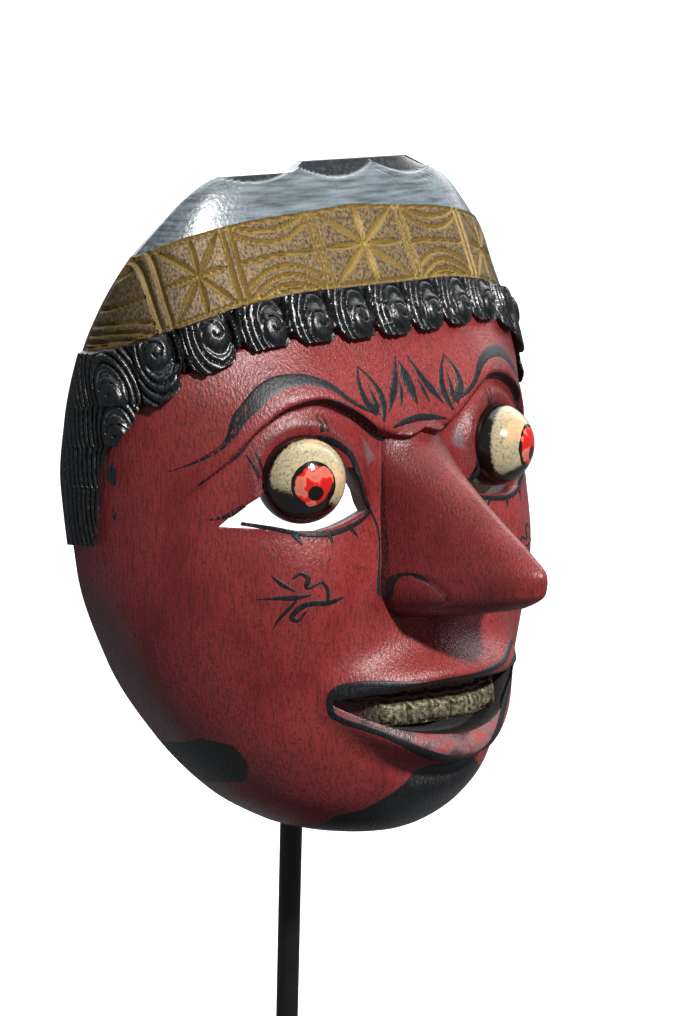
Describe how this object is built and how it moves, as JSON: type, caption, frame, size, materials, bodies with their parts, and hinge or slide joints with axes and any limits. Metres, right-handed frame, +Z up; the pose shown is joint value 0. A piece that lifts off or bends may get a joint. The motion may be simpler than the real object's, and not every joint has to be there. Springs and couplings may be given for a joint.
{
  "type": "carved wooden mask on an adjustable stand",
  "caption": "Hollow carved wooden face mask with set eyes, nose and teeth, held on a tilting, turning, height-adjustable table stand.",
  "frame": {"origin": "under the middle of the stand, on the table, on the post's axis", "axes": "+Z up along the post; the mask faces -Y; +X is the mask's own left"},
  "size_m": [0.166, 0.1752, 0.3557],
  "materials": {
    "felt": "matt wool felt",
    "black_steel": "matt black powder coat",
    "zinc_steel": "zinc plated",
    "brass": "dull turned brass",
    "nylon": "natural nylon",
    "bare_wood": "bare sawn wood",
    "strap_leather": "worn vegetable-tanned leather",
    "red_lacquered_wood": "red lacquer, worn and darkened",
    "cream_painted_wood": "glossy cream paint with a red iris",
    "gilt_teeth": "dull grey-gold paint",
    "gold_painted_wood": "dull gold paint, brighter on the raised lines",
    "black_painted_wood": "glossy black paint, rubbed grey on the edges",
    "grey_painted_wood": "brushed blue-grey and black paint"
  },
  "bodies": {
    "stand": {"felt_pad": "felt", "base_plate": "black_steel", "base_screw": "zinc_steel", "support_tube": "black_steel", "lock_collar": "black_steel"},
    "clamp_slide": {"clamp_tip": "brass"},
    "clamp_screw": {"thumb_screw": "black_steel"},
    "post": {"post": "black_steel"},
    "head": {"swivel_head": "black_steel", "swivel_set_screw": "zinc_steel", "pivot_bolt": "zinc_steel", "friction_washers": "nylon"},
    "pivot_nut": {"wing_nut": "zinc_steel"},
    "mask": {"tilt_bracket": "black_steel", "bracket_screws": "zinc_steel", "cross_batten": "bare_wood", "batten_block_left": "bare_wood", "batten_block_right": "bare_wood", "batten_screws": "zinc_steel", "bite_strap": "strap_leather", "strap_tacks": "brass", "mask_shell": "red_lacquered_wood", "nose": "red_lacquered_wood", "eyeball_left": "cream_painted_wood", "eyeball_right": "cream_painted_wood", "upper_teeth": "gilt_teeth", "headband": "gold_painted_wood", "hair_fringe": "black_painted_wood", "cap": "grey_painted_wood"}
  },
  "joints": [
    {"name": "post_height", "type": "slide", "parent": "stand", "child": "post", "axis": [0, 0, 1], "range_m": [-0.013, 0.02]},
    {"name": "clamp_travel", "type": "slide", "parent": "stand", "child": "clamp_slide", "axis": [1, 0, 0], "range_m": [0, 0.0014]},
    {"name": "clamp_turn", "type": "hinge", "parent": "clamp_slide", "child": "clamp_screw", "pos_m": [0, 0, 0.063], "axis": [1, 0, 0], "range_deg": [0, 720]},
    {"name": "swivel", "type": "hinge", "parent": "post", "child": "head", "pos_m": [0, 0, 0.185], "axis": [0, 0, 1], "continuous": true},
    {"name": "tilt", "type": "hinge", "parent": "head", "child": "mask", "pos_m": [0, 0, 0.207], "axis": [1, 0, 0], "range_deg": [-16, 14]},
    {"name": "nut_turn", "type": "hinge", "parent": "head", "child": "pivot_nut", "pos_m": [0.01, 0, 0.207], "axis": [1, 0, 0], "range_deg": [0, 180]}
  ],
  "couplings": [
    {"joint": "clamp_turn", "follows": "clamp_travel", "rad_per_m": 8976}
  ]
}
